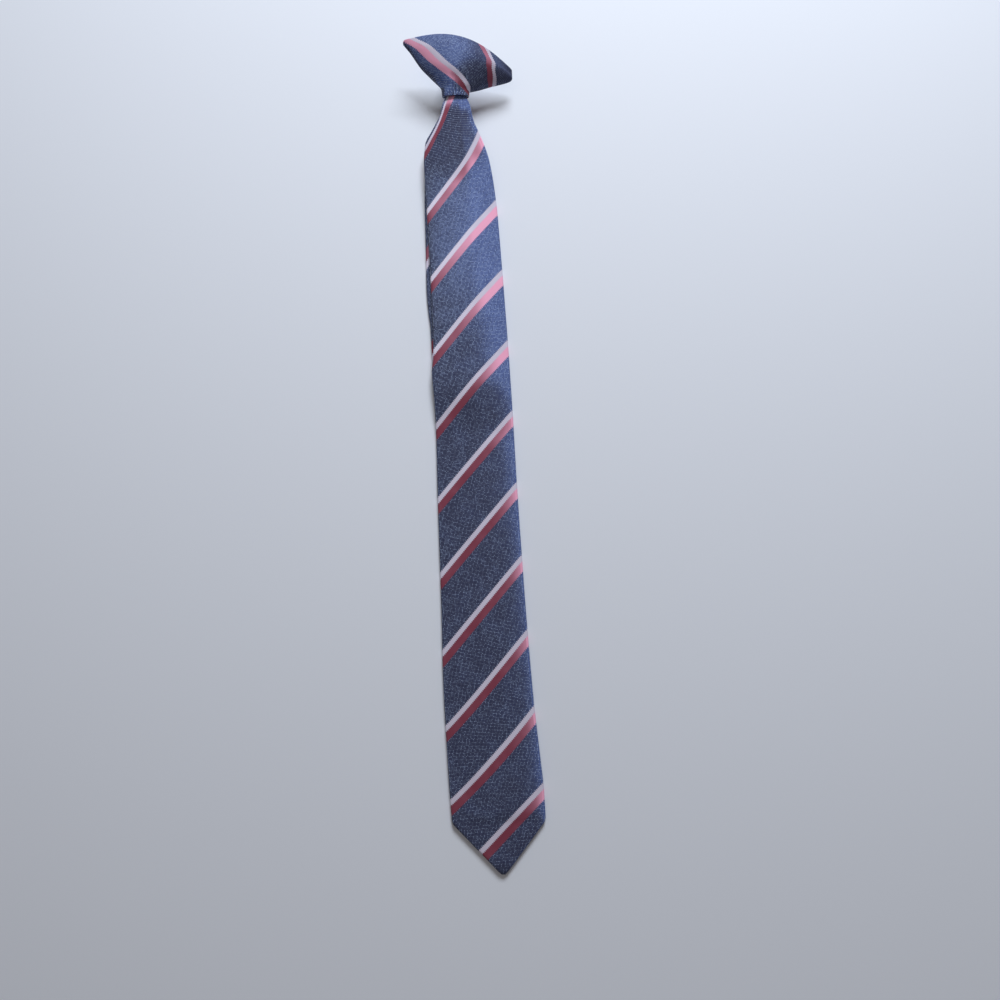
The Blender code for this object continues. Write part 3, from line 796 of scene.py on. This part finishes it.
THREAD = 0.0004
SLIP_FROM, SLIP_TO = 0.072, 0.430
TACK_PLACE = 0.064
TACK_WIDTH, TACK_LENGTH = 0.009, 0.0032
# From the middle of the cloth at the outer flap's edge to the middle of the thread.
SLIP_SEAT = np.array((-0.00022, 0.0, -0.0004))
TACK_SEAT = np.array((-0.001, 0.0, -0.00055))

thread, thread_shader, new = start_material("navy_thread", 0.6)
coordinates = new.node("ShaderNodeTexCoord", output=3)
twist = new.node("ShaderNodeTexWave", {"bands_direction": "DIAGONAL"}, {"Vector": coordinates})
twist.socket.node.inputs["Scale"].default_value = 900.0
thread_colour = twist.mix((0.020, 0.026, 0.070), (0.060, 0.080, 0.170))
thread.node_tree.links.new(thread_colour.socket, thread_shader.inputs["Base Color"])
raised = new.node("ShaderNodeBump", inputs={"Height": twist, "Strength": 0.3, "Distance": 0.0001})
thread.node_tree.links.new(raised.socket, thread_shader.inputs["Normal"])


def stitch_tree(material):
    """Short lengths of thread at an even spacing along a path, each turned to its direction."""
    tree = bpy.data.node_groups.new("stitches", "GeometryNodeTree")
    tree.interface.new_socket("Path", in_out="INPUT", socket_type="NodeSocketGeometry")
    for title in ("Spacing", "Length", "Thread", "Turn"):
        tree.interface.new_socket(title, in_out="INPUT", socket_type="NodeSocketFloat")
    tree.interface.new_socket("Stitches", in_out="OUTPUT", socket_type="NodeSocketGeometry")
    start = Socket(tree, None)
    given = tree.nodes.new("NodeGroupInput").outputs
    path, spacing, size, width, angle = (Socket(tree, given[i]) for i in range(5))
    path = start.node("GeometryNodeMeshToCurve", inputs={"Mesh": path})
    even = start.node(
        "GeometryNodeResampleCurve", {"mode": "LENGTH"}, {"Curve": path, "Length": spacing}
    )
    tangent = start.node("GeometryNodeInputTangent")
    aligned = start.node("FunctionNodeAlignRotationToVector", {"axis": "X"}, {"Vector": tangent})
    spin = start.node("ShaderNodeCombineXYZ", inputs={2: angle})
    spin = start.node("FunctionNodeEulerToRotation", inputs={0: spin})
    aligned = start.node(
        "FunctionNodeRotateRotation",
        {"rotation_space": "LOCAL"},
        {"Rotation": aligned, "Rotate By": spin},
    )
    ends = [start.node("ShaderNodeCombineXYZ", inputs={0: size * part}) for part in (-0.5, 0.5)]
    one = start.node("GeometryNodeCurvePrimitiveLine", inputs={"Start": ends[0], "End": ends[1]})
    ring = start.node(
        "GeometryNodeCurvePrimitiveCircle", inputs={"Resolution": 8, "Radius": width * 0.5}
    )
    one = start.node(
        "GeometryNodeCurveToMesh", inputs={"Curve": one, "Profile Curve": ring, "Fill Caps": True}
    )
    spread = start.node(
        "GeometryNodeInstanceOnPoints", inputs={"Points": even, "Instance": one, "Rotation": aligned}
    )
    real = start.node("GeometryNodeRealizeInstances", inputs={"Geometry": spread})
    real = start.node("GeometryNodeSetMaterial", inputs={"Geometry": real, "Material": material})
    tree.links.new(real.socket, tree.nodes.new("NodeGroupOutput").inputs[0])
    return tree


tree = stitch_tree(thread)
flap_edge = blade_points[(blade_rows > SLIP_FROM) & (blade_rows < SLIP_TO), -1] + SLIP_SEAT
tack = blade_points[np.abs(blade_rows - TACK_PLACE).argmin(), -1] + TACK_SEAT
tack_line = tack + np.outer((-TACK_LENGTH / 2, TACK_LENGTH / 2), (0.0, 1.0, 0.0))
STITCHES = (
    # name, path, spacing, length, turn
    ("slip_stitches", flap_edge, 0.0072, 0.0034, math.radians(14)),
    ("bar_tack", tack_line, 0.0004, TACK_WIDTH, math.pi / 2),
)
for name, path, spacing, size, turned in STITCHES:
    path_mesh = bpy.data.meshes.new(name)
    path_mesh.from_pydata(path.tolist(), [(i, i + 1) for i in range(len(path) - 1)], [])
    sewn = add_object(name, path_mesh)
    sewing = sewn.modifiers.new("sewing", "NODES")
    sewing.node_group = tree
    values = {"Spacing": spacing, "Length": size, "Thread": THREAD, "Turn": turned}
    for item in tree.interface.items_tree:
        if item.name in values:
            sewing[item.identifier] = values[item.name]
    finish_shape(sewn, sharp_angle=60)
    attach(sewn, "root")

# The surface that the tie lies on, the soft daylight from beyond the knot, and the camera, which
# looks down from above the lower half of the blade.

floor_mesh = bpy.data.meshes.new("floor")
outline = bmesh.new()
bmesh.ops.create_grid(outline, x_segments=1, y_segments=1, size=3.0)
outline.to_mesh(floor_mesh)
outline.free()
floor_mesh.transform(Matrix.Translation((0, 0, -0.0002)))
floor = add_object("floor", floor_mesh)
floor_paint, floor_shader, _ = start_material("floor", 0.9)
floor_shader.inputs["Base Color"].default_value = (0.80, 0.82, 0.865, 1.0)
floor_mesh.materials.append(floor_paint)

LIGHTS = (
    # name, place, size, power, colour; all of them aim at the origin
    ("window", (0.22, 0.92, 0.80), 0.46, 13.2, (0.91, 0.98, 1.08)),
    ("ceiling", (-0.2, 0.1, 1.50), 1.60, 2.0, (1.0, 0.93, 0.88)),
)
for name, place, size, power, colour in LIGHTS:
    light = bpy.data.lights.new(name, "AREA")
    light.shape = "SQUARE"
    light.size = size
    light.energy = power
    light.color = colour
    lamp = add_object(name, light)
    lamp.location = place
    lamp.rotation_euler = (-Vector(place)).to_track_quat("-Z", "Y").to_euler()
world = bpy.data.worlds.new("room")
world.use_nodes = True
world.node_tree.nodes["Background"].inputs["Color"].default_value = (0.97, 0.92, 0.93, 1.0)
world.node_tree.nodes["Background"].inputs["Strength"].default_value = 0.13
bpy.context.scene.world = world
bpy.context.scene.view_settings.view_transform = "Standard"

CAMERA_PLACE = (0.014337, -0.105823, 0.4840)
CAMERA_RIGHT = Vector((0.99773, -0.06396, -0.02129))
CAMERA_UP = Vector((0.06628, 0.98839, 0.13673))

lens = bpy.data.cameras.new("camera")
lens.sensor_width = 36.0
lens.lens = 28.8
camera = add_object("camera", lens)
turned = Matrix((CAMERA_RIGHT, CAMERA_UP, CAMERA_RIGHT.cross(CAMERA_UP))).transposed().to_4x4()
camera.matrix_world = Matrix.Translation(CAMERA_PLACE) @ turned
bpy.context.scene.camera = camera

bpy.context.view_layer.update()
